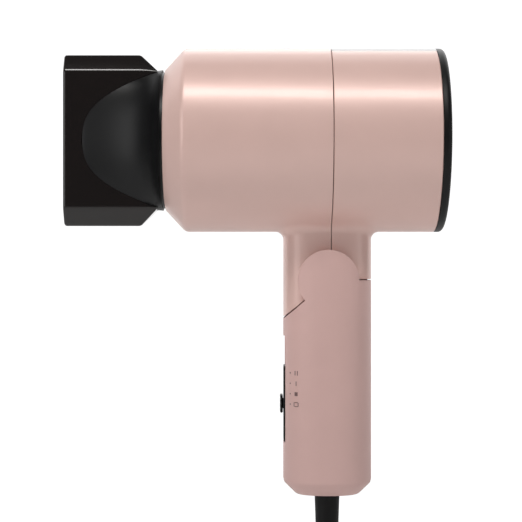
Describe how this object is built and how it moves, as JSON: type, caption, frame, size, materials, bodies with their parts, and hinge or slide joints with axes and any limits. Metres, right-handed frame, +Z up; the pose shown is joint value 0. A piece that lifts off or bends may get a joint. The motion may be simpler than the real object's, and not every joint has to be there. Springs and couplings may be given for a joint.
{
  "type": "travel hair dryer",
  "caption": "Folding handheld hair dryer with a round barrel, a flat concentrator nozzle, a hinged handle with a slide switch, and a tied mains cord.",
  "frame": {"origin": "on the handle's axis in the middle of the grip, 52 mm below the hinge pin", "axes": "+Z up along the handle towards the barrel, +X along the barrel from nozzle to intake, +Y across"},
  "size_m": [0.155, 0.0866, 0.4408],
  "materials": {
    "pink_shell": "satin pearl pink moulded plastic",
    "black_plastic": "matte black moulded plastic",
    "smoked_plastic": "glossy smoked brown-black plastic",
    "steel": "plain steel",
    "mica": "pressed mica sheet",
    "brass": "plain brass",
    "green_board": "glass fibre board",
    "nylon": "natural nylon",
    "cord_rubber": "soft black cord sheath",
    "tie_fabric": "woven hook-and-loop strap"
  },
  "bodies": {
    "handle": {"handle_left_shell": "pink_shell", "handle_right_shell": "pink_shell", "hinge_pin": "steel", "switch_plate": "black_plastic", "switch_body": "black_plastic", "circuit_board": "green_board", "cord_clamp": "nylon", "strain_relief": "cord_rubber", "power_cord": "cord_rubber", "cord_hank": "cord_rubber", "cord_tie": "tie_fabric", "cord_tail": "cord_rubber", "plug_body": "cord_rubber", "plug_blade_left": "brass", "plug_blade_right": "brass"},
    "housing": {"front_housing": "pink_shell", "rear_housing": "pink_shell", "top_inlay": "black_plastic", "rear_cap_ring": "black_plastic", "rear_grille": "black_plastic", "dust_filter": "black_plastic", "outlet_grille": "steel", "heater_frame": "mica", "mica_sleeve": "mica", "heating_coil": "steel", "thermal_cutout": "steel", "motor": "steel", "motor_mount": "black_plastic", "hinge_bush": "nylon"},
    "fan": {"motor_shaft": "steel", "fan_impeller": "black_plastic"},
    "nozzle": {"nozzle_duct": "black_plastic", "nozzle_shroud": "smoked_plastic"},
    "knob": {"switch_knob": "black_plastic"}
  },
  "joints": [
    {"name": "handle_fold", "type": "hinge", "parent": "handle", "child": "housing", "pos_m": [0, 0, 0.052], "axis": [0, -1, 0], "range_deg": [0, 80]},
    {"name": "nozzle_turn", "type": "hinge", "parent": "housing", "child": "nozzle", "pos_m": [-0.0672, 0, 0.1092], "axis": [1, 0, 0], "continuous": true},
    {"name": "fan_spin", "type": "hinge", "parent": "housing", "child": "fan", "pos_m": [0.03, 0, 0.1092], "axis": [1, 0, 0], "continuous": true},
    {"name": "switch_slide", "type": "slide", "parent": "handle", "child": "knob", "axis": [0, 0, 1], "range_m": [0, 0.0126]}
  ]
}
